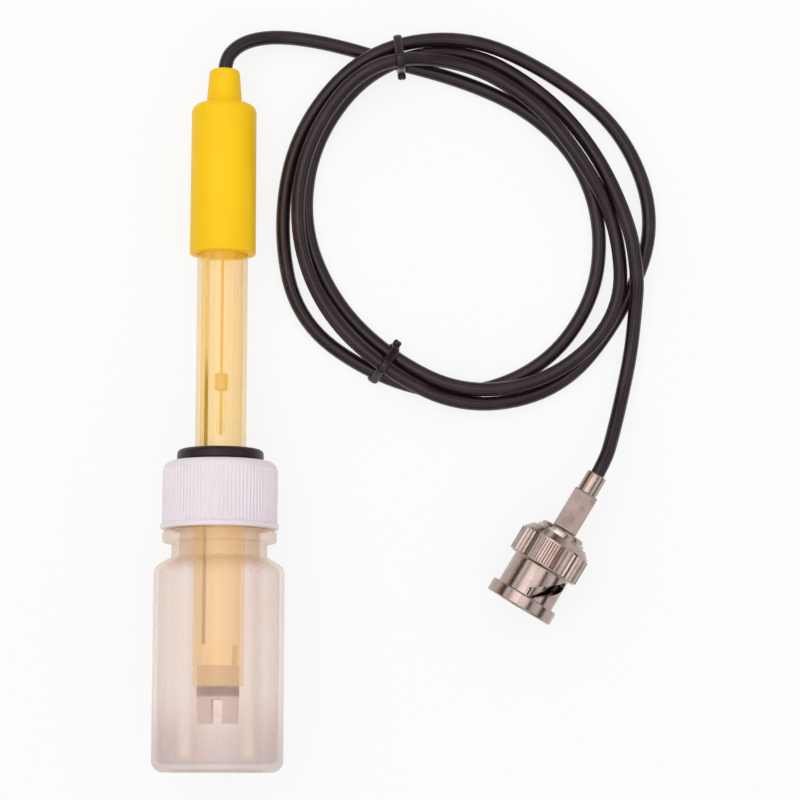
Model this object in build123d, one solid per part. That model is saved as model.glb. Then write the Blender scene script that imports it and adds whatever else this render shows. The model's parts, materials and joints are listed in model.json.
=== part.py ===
"""A slim pH electrode in its storage bottle, with its coiled cable and bayonet plug.

Lengths are in millimetres. The electrode and the bottle are drawn upright on the bottle's base, along +Z,
and the plug is drawn upright on the cable's end. Both are then laid on the table, where the bottle's
shoulder and the electrode cap's shoulder carry the weight. +Y runs towards the electrode cap, +Z is up.
"""
from build123d import *
import math
import os

# Fits shared by all pieces
SLIDING_CLEARANCE = 0.05
BONDED_CLEARANCE = 0.02

# Storage bottle, from the base up
BOTTLE_DIAMETER = 25.4
BOTTLE_WALL = 1.0
BOTTLE_BODY_HEIGHT = 39.4
BOTTLE_BASE_ROUNDING = 2.3
BOTTLE_BASE_RECESS_DEPTH = 0.6
BOTTLE_BASE_RING_WIDTH = 1.4
BOTTLE_SHOULDER_ROUNDING = 2.0
BOTTLE_SHOULDER_RISE = 2.0
BOTTLE_NECK_DIAMETER = 18.6
BOTTLE_NECK_HEIGHT = 2.8
BOTTLE_BEAD_DIAMETER = 22.2
BOTTLE_BEAD_HEIGHT = 2.3
BOTTLE_BEAD_ROUNDING = 0.5
BOTTLE_FINISH_DIAMETER = 17.8
BOTTLE_FINISH_HEIGHT = 12.1
BOTTLE_MOUTH_DIAMETER = 15.6
BOTTLE_LIP_ROUNDING = 0.3

# Screw cap of the bottle
CAP_DIAMETER = 22.1
CAP_TOP_THICKNESS = 1.4
CAP_GAP_ABOVE_BEAD = 0.35
CAP_EDGE_ROUNDING = 1.6
CAP_THREAD_ROOM = 0.75
CAP_RIB_COUNT = 90
CAP_RIB_HEIGHT = 0.17
CAP_RIB_SHARE = 0.45
CAP_FLARE_DIAMETER = 23.1
CAP_FLARE_HEIGHT = 1.0
CAP_FLARE_ROUNDING = 0.3
CAP_HOLE_CLEARANCE = 0.3

# Rubber ring that grips the shaft on top of the cap
RING_DIAMETER = 16.9
RING_THICKNESS = 2.35
RING_ROUNDING = 1.0

# Electrode shaft, its tip and what the shaft holds
TIP_ABOVE_BASE = 9.4
GUARD_WALL = 0.75
GUARD_SKIRT_LENGTH = 7.1
GUARD_SPIGOT_LENGTH = 4.0
GUARD_SLOT_WIDTH = 2.2
GUARD_SLOT_LENGTH = 4.6
GUARD_EDGE_ROUNDING = 0.25
SHAFT_DIAMETER = 10.0
SHAFT_WALL = 0.85
SHAFT_LENGTH = 104.0
STEM_DIAMETER = 5.0
STEM_WALL = 0.7
STEM_BELOW_COMPOUND = 5.3
BULB_DIAMETER = 5.7
BULB_WALL = 0.4
BULB_ABOVE_TIP = 0.9
LOWER_SEAL_LENGTH = 4.0
JUNCTION_DIAMETER = 1.0
WIRE_DIAMETER = 0.7
WIRE_CIRCLE_RADIUS = 3.3
WIRE_ANGLE = 212.0
JUNCTION_ANGLE = 20.0
STOPPER_LENGTH = 5.0
CORK_LENGTH = 4.0
ELEMENT_WIRE_DIAMETER = 0.6
ELEMENT_BEAD_DIAMETER = 2.6
ELEMENT_BEAD_LENGTH = 3.3
ELEMENT_BEAD_ABOVE_BASE = 74.2
ELEMENT_TAIL_LENGTH = 8.8
SLEEVE_DIAMETER = 2.0
SLEEVE_WALL = 0.3
SLEEVE_LENGTH = 8.5

# Electrode cap with its tapered nose
HEAD_FOOT_DIAMETER = 13.0
HEAD_TOP_DIAMETER = 12.8
HEAD_LENGTH = 30.2
HEAD_FOOT_ROUNDING = 0.35
HEAD_SHOULDER_ROUNDING = 1.8
HEAD_SOCKET_DEPTH = 19.4
HEAD_CAVITY_DEPTH = 8.0
NOSE_ROOT_DIAMETER = 7.1
NOSE_END_DIAMETER = 5.9
NOSE_LENGTH = 7.1
NOSE_ROOT_ROUNDING = 0.4
NOSE_END_ROUNDING = 0.9
CABLE_ENTRY_DEPTH = 1.8
POTTING_IN_SHAFT = 8.0

# Cable and its coil
CABLE_DIAMETER = 2.8
EXIT_RUN = 1.7
LEAD_IN_POINTS = [
    (1.9, 73.9, 4.9),
    (5.2, 75.8, 3.9),
    (10.5, 76.7, 2.6),
    (18.0, 76.0, 1.6),
    (26.3, 74.0, 1.45),
    (31.8, 72.2, 1.45),
]
LEAD_OUT_POINTS = [
    (82.1, 28.4, 4.2),
    (81.7, 21.6, 2.4),
    (80.9, 13.4, 1.6),
    (79.1, 4.9, 2.4),
    (77.1, -2.9, 4.9),
]
RUN_SHARE_OF_ARC = 0.45
COIL_CENTRE = (47.8, 39.1)
CLOCK_HOURS = 12
# Radius of each turn at the clock hours, from twelve o'clock round; the last turn leaves at four o'clock
TURN_RADII = (
    (27.9, 25.4, 25.5, 26.5, 28.9, 31.6, 33.6, 34.2, 37.4, 35.9, 37.3, 38.5),
    (36.9, 34.0, 35.8, 37.2, 35.0, 37.2, 35.8, 32.1, 32.2, 33.0, 34.6, 36.2),
    (31.6, 27.2, 25.8, 29.7, 34.9, 34.8, 33.3, 29.7, 29.4, 31.4, 33.5, 35.2),
    (34.2, 29.8, 28.8, 31.3),
)
COIL_BOTTOM = 0.6
COIL_HEIGHT = 6.4
COIL_ROUNDING = 1.4

# Twist ties round the coil
TIE_WIDTH = 1.8
TIE_THICKNESS = 0.5
TIE_UPPER_ANGLE = 337.0
TIE_UPPER_LEAN = 16.0
TIE_LOWER_ANGLE = 210.0
TIE_LOWER_LEAN = 4.0
TIE_TWIST_DIAMETER = 1.7
TIE_TWIST_LENGTH = 1.5

# Bayonet plug, from the cable's end to its mouth
PLUG_ENTRY = (73.8, -11.0)
PLUG_HEADING = -121.0
FERRULE_TAIL_DIAMETER = 4.1
FERRULE_TAIL_LENGTH = 4.2
FERRULE_HEX_ACROSS_FLATS = 4.9
FERRULE_HEX_LENGTH = 8.6
FERRULE_EDGE_ROUNDING = 0.25
CABLE_IN_FERRULE = 2.6
ENTRY_RUN = 3.0
CRIMP_NECK_DIAMETER = 3.8
CRIMP_NECK_BORE = 2.0
HUB_DIAMETER = 9.1
HUB_LENGTH = 5.0
HUB_ROUNDING = 0.6
FLANGE_DIAMETER = 10.4
FLANGE_THICKNESS = 1.7
CONTACT_DIAMETER = 8.1
CONTACT_WALL = 0.55
CONTACT_LENGTH = 8.4
CONTACT_SLOT_COUNT = 4
CONTACT_SLOT_WIDTH = 0.5
CONTACT_SLOT_LENGTH = 5.5
INSULATOR_LENGTH = 5.2
INSULATOR_SEAT_DEPTH = 3.0
PIN_ROOT_DIAMETER = 1.8
PIN_TIP_DIAMETER = 1.35
PIN_TIP_LENGTH = 5.0
PIN_TAIL_LENGTH = 2.5
PIN_POINT_ROUNDING = 0.45
GASKET_THICKNESS = 1.0
GASKET_DIAMETER = 9.6
RETAINER_SETBACK = 0.9
RETAINER_THICKNESS = 0.6
RETAINER_DEPTH = 0.5
RETAINER_PROUD = 0.55
RETAINER_GAP_ANGLE = 40.0
WASHER_THICKNESS = 0.5
SPRING_THICKNESS = 0.3
SPRING_WIDTH = 0.7
SPRING_SWEEP_ANGLE = 330.0
NUT_REAR_WALL = 1.5
NUT_REAR_BEVEL = 1.15
NUT_REAR_LENGTH = 1.3
NUT_KNURL_DIAMETER = 14.7
NUT_KNURL_LENGTH = 6.8
NUT_KNURL_COUNT = 40
NUT_KNURL_DEPTH = 0.3
NUT_KNURL_SHARE = 0.4
NUT_BARREL_WALL = 1.0
NUT_BARREL_LENGTH = 6.4
NUT_RIM_PROUD = 1.1
NUT_RIM_LENGTH = 2.7
NUT_EDGE_ROUNDING = 0.35
NUT_MOUTH_DIAMETER = 9.9
NUT_CHAMBER_ROOM = 0.5
BAYONET_WIDTH = 2.1
BAYONET_CHANNEL_DEPTH = 0.75
BAYONET_ENTRY_ANGLE = 354.0
BAYONET_TWIST = 58.0
BAYONET_RISE = 3.9
BAYONET_LAND = 1.0


def turned(*corners):
    """A solid of revolution about Z from corners given as (radius, height, rounding)."""
    points = [(radius, height) for radius, height, _ in corners]
    roundings = [rounding for _, _, rounding in corners]
    outline = FilletPolyline(*points, radius=roundings, close=True)
    return revolve(Plane.XZ * make_face(outline), axis=Axis.Z)


def rod(diameter, low, high):
    """A round rod on the Z axis between two heights."""
    upwards = (Align.CENTER, Align.CENTER, Align.MIN)
    return Pos(0, 0, low) * Cylinder(diameter / 2, high - low, align=upwards)


def sleeve(inner, outer, low, high):
    """A plain round sleeve about Z between two radii and two heights."""
    return turned((inner, low, 0), (outer, low, 0), (outer, high, 0), (inner, high, 0))


def ribbed_outline(root_diameter, rib_height, rib_share, rib_count):
    """The outline of a grip with straight ribs, all round, between its root and its rib tops."""
    step = 2 * math.pi / rib_count
    foot = step * (1 + rib_share) / 4
    crest = step * rib_share / 4
    root = root_diameter / 2
    top = root + rib_height
    points = []
    for rib in range(rib_count):
        middle = rib * step
        for radius, turn in ((root, -foot), (top, -crest), (top, crest), (root, foot)):
            points.append((radius * math.cos(middle + turn), radius * math.sin(middle + turn)))
    return make_face(Polyline(*points, close=True))


# Heights on the electrode's own axis, from the bottle's base
tube_start = TIP_ABOVE_BASE + GUARD_SKIRT_LENGTH
tube_end = tube_start + SHAFT_LENGTH
shaft_bore = SHAFT_DIAMETER - 2 * SHAFT_WALL
guard_end = tube_start + GUARD_SPIGOT_LENGTH
seal_end = guard_end + LOWER_SEAL_LENGTH
bulb_centre = TIP_ABOVE_BASE + BULB_ABOVE_TIP + BULB_DIAMETER / 2
compound_start = tube_end - POTTING_IN_SHAFT
stem_end = compound_start - STEM_BELOW_COMPOUND
stopper_start = stem_end - STOPPER_LENGTH
cork_start = stem_end - CORK_LENGTH
head_foot = tube_end - HEAD_SOCKET_DEPTH
head_shoulder = head_foot + HEAD_LENGTH
nose_end = head_shoulder + NOSE_LENGTH
cavity_end = tube_end + HEAD_CAVITY_DEPTH
cable_start = nose_end - CABLE_ENTRY_DEPTH
shoulder_start = BOTTLE_BODY_HEIGHT
neck_start = shoulder_start + BOTTLE_SHOULDER_RISE
bead_start = neck_start + BOTTLE_NECK_HEIGHT
bead_end = bead_start + BOTTLE_BEAD_HEIGHT
bottle_lip = bead_end + BOTTLE_FINISH_HEIGHT
cap_foot = bead_end + CAP_GAP_ABOVE_BEAD
cap_ceiling = bottle_lip + SLIDING_CLEARANCE
cap_top = cap_ceiling + CAP_TOP_THICKNESS
ring_start = cap_top + SLIDING_CLEARANCE
cable_radius = CABLE_DIAMETER / 2


def make_storage_bottle():
    """Blown bottle: one wall from the recessed base to the lip, open at the mouth."""
    outer = BOTTLE_DIAMETER / 2
    inner = outer - BOTTLE_WALL
    neck = BOTTLE_NECK_DIAMETER / 2
    bead = BOTTLE_BEAD_DIAMETER / 2
    finish = BOTTLE_FINISH_DIAMETER / 2
    mouth = BOTTLE_MOUTH_DIAMETER / 2
    recess = outer - BOTTLE_BASE_ROUNDING - BOTTLE_BASE_RING_WIDTH
    floor = BOTTLE_WALL + BOTTLE_BASE_RECESS_DEPTH
    inner_rounding = max(BOTTLE_BASE_ROUNDING - BOTTLE_WALL, BOTTLE_LIP_ROUNDING)
    return turned(
        (0, BOTTLE_BASE_RECESS_DEPTH, 0),
        (recess - BOTTLE_BASE_RECESS_DEPTH, BOTTLE_BASE_RECESS_DEPTH, 0),
        (recess, 0, 0),
        (outer, 0, BOTTLE_BASE_ROUNDING),
        (outer, shoulder_start, BOTTLE_SHOULDER_ROUNDING),
        (neck, neck_start, BOTTLE_BEAD_ROUNDING),
        (neck, bead_start, 0),
        (bead, bead_start, BOTTLE_BEAD_ROUNDING),
        (bead, bead_end, BOTTLE_BEAD_ROUNDING),
        (finish, bead_end, 0),
        (finish, bottle_lip, BOTTLE_LIP_ROUNDING),
        (mouth, bottle_lip, BOTTLE_LIP_ROUNDING),
        (mouth, neck_start, BOTTLE_BEAD_ROUNDING),
        (inner, shoulder_start - BOTTLE_WALL / 2, inner_rounding),
        (inner, floor, inner_rounding),
        (0, floor, 0),
    )


def make_bottle_cap():
    """Screw cap: a smooth shell with a plain flare at its foot, ribs for grip and a hole for the shaft."""
    root = CAP_DIAMETER / 2
    bore = BOTTLE_FINISH_DIAMETER / 2 + CAP_THREAD_ROOM
    hole = SHAFT_DIAMETER / 2 + CAP_HOLE_CLEARANCE
    flare = CAP_FLARE_DIAMETER / 2
    flare_end = cap_foot + CAP_FLARE_HEIGHT
    shell = turned(
        (bore, cap_foot, 0),
        (flare, cap_foot, CAP_FLARE_ROUNDING),
        (flare, flare_end, CAP_FLARE_ROUNDING),
        (root, flare_end, 0),
        (root, cap_top, CAP_EDGE_ROUNDING),
        (hole, cap_top, 0),
        (hole, cap_ceiling, 0),
        (bore, cap_ceiling, 0),
    )
    ribs_end = cap_top - CAP_EDGE_ROUNDING
    outline = ribbed_outline(CAP_DIAMETER, CAP_RIB_HEIGHT, CAP_RIB_SHARE, CAP_RIB_COUNT)
    band = outline - Circle(root - CAP_RIB_HEIGHT)
    ribs = Pos(0, 0, flare_end) * extrude(band, ribs_end - flare_end)
    return shell + ribs


def make_seal_ring():
    """Rubber ring with a rounded upper edge, seated on the cap round the shaft."""
    bore = SHAFT_DIAMETER / 2 + SLIDING_CLEARANCE
    outer = RING_DIAMETER / 2
    ring_end = ring_start + RING_THICKNESS
    return turned(
        (bore, ring_start, 0),
        (outer, ring_start, RING_ROUNDING / 2),
        (outer, ring_end, RING_ROUNDING),
        (bore, ring_end, RING_ROUNDING / 2),
    )


def make_electrode_cap():
    """Moulded cap: socket for the tube, cavity for the compound and a tapered nose bored for the cable."""
    socket = SHAFT_DIAMETER / 2 + BONDED_CLEARANCE
    cavity = shaft_bore / 2
    bore = cable_radius + BONDED_CLEARANCE
    return turned(
        (socket, head_foot, 0),
        (HEAD_FOOT_DIAMETER / 2, head_foot, HEAD_FOOT_ROUNDING),
        (HEAD_TOP_DIAMETER / 2, head_shoulder, HEAD_SHOULDER_ROUNDING),
        (NOSE_ROOT_DIAMETER / 2, head_shoulder, NOSE_ROOT_ROUNDING),
        (NOSE_END_DIAMETER / 2, nose_end, NOSE_END_ROUNDING),
        (bore, nose_end, 0),
        (bore, cavity_end, 0),
        (cavity, cavity_end, 0),
        (cavity, tube_end + BONDED_CLEARANCE, 0),
        (socket, tube_end + BONDED_CLEARANCE, 0),
    )


def make_body_tube():
    """Clear plastic tube of the shaft."""
    return sleeve(shaft_bore / 2, SHAFT_DIAMETER / 2, tube_start, tube_end)


def make_bulb_guard():
    """Guard with a spigot in the tube and a skirt with crossed slots round the bulb."""
    outer = shaft_bore / 2 - BONDED_CLEARANCE
    inner = outer - GUARD_WALL
    guard = turned(
        (inner, TIP_ABOVE_BASE, GUARD_EDGE_ROUNDING),
        (outer, TIP_ABOVE_BASE, GUARD_EDGE_ROUNDING),
        (outer, guard_end, 0),
        (inner, guard_end, 0),
    )
    slot_middle = TIP_ABOVE_BASE + GUARD_SLOT_LENGTH / 2
    slot = Pos(0, 0, slot_middle) * Box(SHAFT_DIAMETER, GUARD_SLOT_WIDTH, GUARD_SLOT_LENGTH)
    return guard - slot - Rot(0, 0, 90) * slot


def make_glass_stem():
    """Glass tube with a thin blown bulb at its lower end."""
    bulb = Pos(0, 0, bulb_centre) * Sphere(BULB_DIAMETER / 2)
    hollow = Pos(0, 0, bulb_centre) * Sphere(BULB_DIAMETER / 2 - BULB_WALL)
    tube = rod(STEM_DIAMETER, bulb_centre, stem_end)
    bore = rod(STEM_DIAMETER - 2 * STEM_WALL, bulb_centre, stem_end)
    return bulb + tube - bore - hollow


def on_wire_circle(angle):
    """The place on the circle between stem and tube where wires and the junction stand."""
    return Pos(
        WIRE_CIRCLE_RADIUS * math.cos(math.radians(angle)),
        WIRE_CIRCLE_RADIUS * math.sin(math.radians(angle)),
        0,
    )


def stem_packing(low, high):
    """A ring that fills the shaft round the stem between two heights."""
    inner = STEM_DIAMETER / 2 + BONDED_CLEARANCE
    outer = shaft_bore / 2 - BONDED_CLEARANCE
    return sleeve(inner, outer, low, high)


def make_lower_seal():
    """Plug that closes the shaft above the guard, holed for the junction."""
    hole = rod(JUNCTION_DIAMETER + 2 * BONDED_CLEARANCE, guard_end, seal_end)
    return stem_packing(guard_end, seal_end) - on_wire_circle(JUNCTION_ANGLE) * hole


def make_junction_plug():
    """Porous pin that lets the filling touch the sample."""
    return on_wire_circle(JUNCTION_ANGLE) * rod(JUNCTION_DIAMETER, guard_end, seal_end)


def make_reference_wire():
    """Straight coated wire beside the stem, from the lower seal up to the compound."""
    return on_wire_circle(WIRE_ANGLE) * rod(WIRE_DIAMETER, seal_end, compound_start)


def make_stem_stopper():
    """Bung that centres the stem's upper end, holed for the reference wire."""
    hole = rod(WIRE_DIAMETER + 2 * BONDED_CLEARANCE, stopper_start, stem_end)
    return stem_packing(stopper_start, stem_end) - on_wire_circle(WIRE_ANGLE) * hole


def make_stem_cork():
    """Small stopper in the stem that holds the inner wire."""
    outer = STEM_DIAMETER / 2 - STEM_WALL - BONDED_CLEARANCE
    inner = ELEMENT_WIRE_DIAMETER / 2 + BONDED_CLEARANCE
    return sleeve(inner, outer, cork_start, stem_end)


def make_inner_element():
    """Silver wire with its coated bead, from the compound down into the stem."""
    wire = ELEMENT_WIRE_DIAMETER / 2
    bead = ELEMENT_BEAD_DIAMETER / 2
    bead_low = ELEMENT_BEAD_ABOVE_BASE
    bead_high = bead_low + ELEMENT_BEAD_LENGTH
    tail = bead_low - ELEMENT_TAIL_LENGTH
    return turned(
        (0, tail, 0),
        (wire, tail, 0),
        (wire, bead_low, 0),
        (bead, bead_low, wire),
        (bead, bead_high, wire),
        (wire, bead_high, 0),
        (wire, compound_start, 0),
        (0, compound_start, 0),
    )


def make_element_sleeve():
    """Short clear sleeve on the inner wire below its bead."""
    outer = SLEEVE_DIAMETER / 2
    high = ELEMENT_BEAD_ABOVE_BASE
    return sleeve(outer - SLEEVE_WALL, outer, high - SLEEVE_LENGTH, high)


def make_potting_plug():
    """Compound that fills the shaft's upper end, the cap's cavity and the nose up to the cable."""
    body = shaft_bore / 2 - BONDED_CLEARANCE
    return turned(
        (0, compound_start, 0),
        (body, compound_start, 0),
        (body, cavity_end, 0),
        (cable_radius, cavity_end, 0),
        (cable_radius, cable_start, 0),
        (0, cable_start, 0),
    )


def resting_tilt():
    """The lean in degrees that brings both shoulder roundings down to the table."""
    bottle_round = BOTTLE_SHOULDER_ROUNDING
    head_round = HEAD_SHOULDER_ROUNDING
    steepness = math.atan2((BOTTLE_DIAMETER - BOTTLE_NECK_DIAMETER) / 2, BOTTLE_SHOULDER_RISE)
    bottle_z = shoulder_start - bottle_round * math.tan(steepness / 2)
    head_z = head_shoulder - head_round
    fall = (BOTTLE_DIAMETER / 2 - bottle_round) - (HEAD_TOP_DIAMETER / 2 - head_round)
    spread = head_z - bottle_z
    reach = math.hypot(spread, fall)
    return math.degrees(math.atan2(fall, spread) + math.asin((bottle_round - head_round) / reach))


UPRIGHT_MAKERS = {
    "storage_bottle": make_storage_bottle,
    "bottle_cap": make_bottle_cap,
    "seal_ring": make_seal_ring,
    "electrode_cap": make_electrode_cap,
    "body_tube": make_body_tube,
    "bulb_guard": make_bulb_guard,
    "glass_stem": make_glass_stem,
    "lower_seal": make_lower_seal,
    "junction_plug": make_junction_plug,
    "reference_wire": make_reference_wire,
    "stem_stopper": make_stem_stopper,
    "stem_cork": make_stem_cork,
    "inner_element": make_inner_element,
    "element_sleeve": make_element_sleeve,
    "potting_plug": make_potting_plug,
}


def lay_on_table(upright):
    """The placing that leans the upright pieces over and centres them on the table."""
    leaned = Rot(-90 - resting_tilt(), 0, 0)
    box = (leaned * Compound(list(upright.values()))).bounding_box()
    return Pos(-box.center().X, -box.center().Y, -box.min.Z) * leaned


def cable_tube(points):
    """A round cable along straight runs joined by arcs as large as the runs allow."""
    places = [Vector(point) for point in points]
    runs = [after - before for before, after in zip(places, places[1:])]
    radii = []
    for before, after in zip(runs, runs[1:]):
        half_turn = math.radians(before.get_angle(after)) / 2
        radii.append(RUN_SHARE_OF_ARC * min(before.length, after.length) / math.tan(half_turn))
    path = FilletPolyline(*places, radius=radii)
    section = Plane(origin=path @ 0, z_dir=path % 0) * Circle(cable_radius)
    tube = sweep(section, path=path)
    print("cable radii", [round(radius, 1) for radius in radii], "length", round(path.length, 1))
    print("cable volume", round(tube.volume, 1), "section times length",
          round(math.pi * cable_radius**2 * path.length, 1))
    return tube


def coil_outline(choose, margin):
    """A closed curve through the clock hours, past the outermost or innermost turn by a margin."""
    points = []
    for hour in range(CLOCK_HOURS):
        radius = choose(turn[hour] for turn in TURN_RADII if hour < len(turn)) + margin
        angle = math.radians(90 - hour * 360 / CLOCK_HOURS)
        points.append((radius * math.cos(angle), radius * math.sin(angle)))
    return Pos(*COIL_CENTRE) * make_face(Spline(*points, periodic=True))


def make_cable_coil():
    """The outer shape of the coil: a soft-edged ring that all its turns lie in."""
    ring = coil_outline(max, cable_radius) - coil_outline(min, -cable_radius)
    solid = Pos(0, 0, COIL_BOTTOM) * extrude(ring, COIL_HEIGHT)
    edges = solid.edges().group_by(Axis.Z)
    return fillet(edges[0] + edges[-1], COIL_ROUNDING)


def make_tie(coil, clock_angle, lean):
    """A twist tie: a flat band closed round the coil, with its twisted end on the inner side."""
    place = math.radians(clock_angle)
    outward = math.radians(clock_angle + lean)
    reach = sum(TURN_RADII[0]) / CLOCK_HOURS
    across = Plane(
        origin=Vector(*COIL_CENTRE) + reach * Vector(math.sin(place), math.cos(place)),
        x_dir=(math.sin(outward), math.cos(outward), 0),
        z_dir=(-math.cos(outward), math.sin(outward), 0),
    )
    slab = Box(reach, reach, TIE_WIDTH)
    box = (across.location.inverse() * coil & slab).bounding_box()
    middle = box.center()
    width = box.size.X + 2 * SLIDING_CLEARANCE
    height = box.size.Y + 2 * SLIDING_CLEARANCE
    hole = RectangleRounded(width, height, COIL_ROUNDING)
    around = 2 * TIE_THICKNESS
    band = RectangleRounded(width + around, height + around, COIL_ROUNDING + TIE_THICKNESS)
    loop = extrude(band - hole, TIE_WIDTH / 2, both=True)
    twist_start = width / 2 + TIE_THICKNESS / 2
    twist = Rot(0, -90, 0) * rod(TIE_TWIST_DIAMETER, twist_start, twist_start + TIE_TWIST_LENGTH)
    return across.location * Pos(middle.X, middle.Y, 0) * (loop + twist)


# Heights on the plug's own axis, from the cable's end
hex_start = FERRULE_TAIL_LENGTH
hub_start = hex_start + FERRULE_HEX_LENGTH
flange_start = hub_start + HUB_LENGTH
flange_end = flange_start + FLANGE_THICKNESS
contact_end = flange_end + CONTACT_LENGTH
insulator_start = flange_start - INSULATOR_SEAT_DEPTH
insulator_end = insulator_start + INSULATOR_LENGTH
retainer_start = hub_start + RETAINER_SETBACK
retainer_end = retainer_start + RETAINER_THICKNESS
nut_start = retainer_end + SLIDING_CLEARANCE
nut_floor = nut_start + NUT_REAR_WALL
washer_end = nut_floor + WASHER_THICKNESS
spring_end = flange_start
chamber_end = flange_end + NUT_CHAMBER_ROOM
knurl_end = nut_start + NUT_KNURL_LENGTH
barrel_end = knurl_end + NUT_BARREL_LENGTH
nut_end = barrel_end + NUT_RIM_LENGTH
hub_bore = HUB_DIAMETER / 2 + SLIDING_CLEARANCE
nut_mouth = NUT_MOUTH_DIAMETER / 2
nut_barrel = nut_mouth + NUT_BARREL_WALL
nut_chamber = FLANGE_DIAMETER / 2 + NUT_CHAMBER_ROOM
contact_bore = CONTACT_DIAMETER / 2 - CONTACT_WALL


def make_crimp_ferrule():
    """Crimped sleeve: a round tail on the cable and a hexagonal part on the plug's neck."""
    tail = FERRULE_TAIL_DIAMETER / 2
    tail_bore = cable_radius + BONDED_CLEARANCE
    neck_bore = CRIMP_NECK_DIAMETER / 2 + BONDED_CLEARANCE
    round_part = turned(
        (tail_bore, 0, 0),
        (tail, 0, FERRULE_EDGE_ROUNDING),
        (tail, hex_start, 0),
        (tail_bore, hex_start, 0),
    )
    hexagon = RegularPolygon(FERRULE_HEX_ACROSS_FLATS / 2, 6, major_radius=False)
    pressed = Pos(0, 0, hex_start) * extrude(hexagon, FERRULE_HEX_LENGTH - SLIDING_CLEARANCE)
    ends = pressed.edges().group_by(Axis.Z)
    pressed = fillet(ends[0] + ends[-1], FERRULE_EDGE_ROUNDING)
    return round_part + (pressed - rod(2 * neck_bore, hex_start, hub_start))


def make_plug_body():
    """Turned body: crimp neck, hub with the retainer's groove, flange and slotted outer contact."""
    neck = CRIMP_NECK_DIAMETER / 2
    hub = HUB_DIAMETER / 2
    groove = hub - RETAINER_DEPTH
    contact = CONTACT_DIAMETER / 2
    body = turned(
        (CRIMP_NECK_BORE / 2, hex_start, 0),
        (neck, hex_start, 0),
        (neck, hub_start, 0),
        (hub, hub_start, HUB_ROUNDING),
        (hub, retainer_start, 0),
        (groove, retainer_start, 0),
        (groove, retainer_end, 0),
        (hub, retainer_end, 0),
        (hub, flange_start, 0),
        (FLANGE_DIAMETER / 2, flange_start, 0),
        (FLANGE_DIAMETER / 2, flange_end, 0),
        (contact, flange_end, 0),
        (contact, contact_end, CONTACT_WALL / 2),
        (contact_bore, contact_end, 0),
        (contact_bore, insulator_start, 0),
        (CRIMP_NECK_BORE / 2, insulator_start, 0),
    )
    slot_middle = contact_end - CONTACT_SLOT_LENGTH / 2
    slot = Pos(contact, 0, slot_middle) * Box(contact, CONTACT_SLOT_WIDTH, CONTACT_SLOT_LENGTH)
    for index in range(CONTACT_SLOT_COUNT):
        body -= Rot(0, 0, index * 360 / CONTACT_SLOT_COUNT) * slot
    return body


def make_pin_insulator():
    """Insulator that holds the pin in the middle of the body."""
    outer = contact_bore - BONDED_CLEARANCE
    inner = PIN_ROOT_DIAMETER / 2 + BONDED_CLEARANCE
    return sleeve(inner, outer, insulator_start, insulator_end)


def make_centre_pin():
    """Contact pin with a thicker root in the insulator and a rounded point."""
    root = PIN_ROOT_DIAMETER / 2
    tip = PIN_TIP_DIAMETER / 2
    low = insulator_start - PIN_TAIL_LENGTH
    high = insulator_end + PIN_TIP_LENGTH
    return turned(
        (0, low, 0),
        (root, low, 0),
        (root, insulator_end, 0),
        (tip, insulator_end, 0),
        (tip, high, PIN_POINT_ROUNDING),
        (0, high, 0),
    )


def make_plug_gasket():
    """Rubber ring at the foot of the outer contact."""
    inner = CONTACT_DIAMETER / 2 + BONDED_CLEARANCE
    return sleeve(inner, GASKET_DIAMETER / 2, flange_end, flange_end + GASKET_THICKNESS)


def make_retaining_ring():
    """Split ring in the hub's groove that keeps the nut on the body."""
    inner = HUB_DIAMETER / 2 - RETAINER_DEPTH + BONDED_CLEARANCE
    outer = HUB_DIAMETER / 2 + RETAINER_PROUD
    low = retainer_start + BONDED_CLEARANCE
    high = retainer_end - BONDED_CLEARANCE
    outline = Polyline((inner, low), (outer, low), (outer, high), (inner, high), close=True)
    return revolve(Plane.XZ * make_face(outline), axis=Axis.Z, revolution_arc=360 - RETAINER_GAP_ANGLE)


def make_thrust_washer():
    """Flat washer inside the nut's rear wall, on which the nut turns."""
    outer = nut_chamber - SLIDING_CLEARANCE
    return sleeve(hub_bore, outer, nut_floor + SLIDING_CLEARANCE, washer_end)


def make_spring_washer():
    """Split spring washer between the thrust washer and the body's flange."""
    low = washer_end + BONDED_CLEARANCE
    rise = spring_end - BONDED_CLEARANCE - low - SPRING_THICKNESS
    radius = hub_bore + SPRING_WIDTH / 2
    pitch = rise * 360 / SPRING_SWEEP_ANGLE
    path = Pos(0, 0, low + SPRING_THICKNESS / 2) * Helix(pitch, rise, radius)
    start = Plane(origin=path @ 0, x_dir=(1, 0, 0), z_dir=path % 0)
    return sweep(start * Rectangle(SPRING_WIDTH, SPRING_THICKNESS), path=path, is_frenet=True)


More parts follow.
